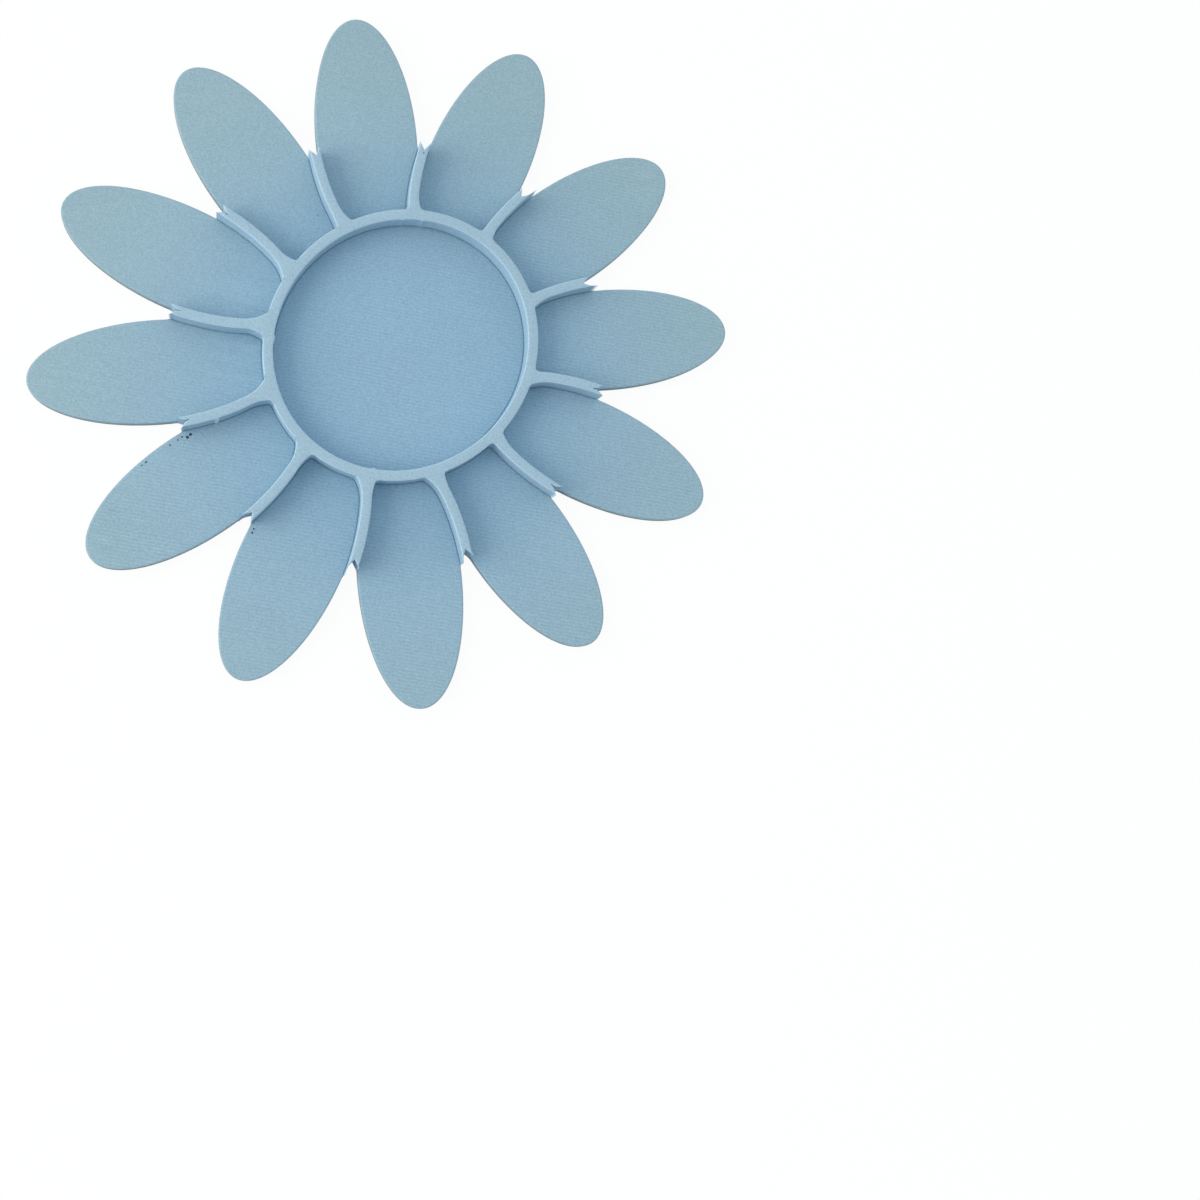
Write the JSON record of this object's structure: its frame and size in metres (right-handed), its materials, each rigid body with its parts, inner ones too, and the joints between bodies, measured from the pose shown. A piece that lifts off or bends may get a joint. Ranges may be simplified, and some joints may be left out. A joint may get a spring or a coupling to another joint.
{
  "type": "cookie stamp",
  "caption": "Flat daisy-shaped dough stamp: thin petal floors and an oval pocket framed by a raised ring and curved ribs that end in swallowtails.",
  "frame": {"origin": "where the axes of the petals meet, on the flat back", "axes": "+Z out of the stamping face, +Y along petal_01, +X along petal_04"},
  "size_m": [0.085, 0.085, 0.0042],
  "materials": {
    "floor": "matt layer-printed plastic, light blue",
    "wall": "matt layer-printed plastic, light blue"
  },
  "bodies": {
    "root": {"pocket_floor": "floor", "centre_ring": "wall", "petal_01": "floor", "rib_01": "wall", "petal_02": "floor", "rib_02": "wall", "petal_03": "floor", "rib_03": "wall", "petal_04": "floor", "rib_04": "wall", "petal_05": "floor", "rib_05": "wall", "petal_06": "floor", "rib_06": "wall", "petal_07": "floor", "rib_07": "wall", "petal_08": "floor", "rib_08": "wall", "petal_09": "floor", "rib_09": "wall", "petal_10": "floor", "rib_10": "wall", "petal_11": "floor", "rib_11": "wall", "petal_12": "floor", "rib_12": "wall"}
  },
  "joints": []
}
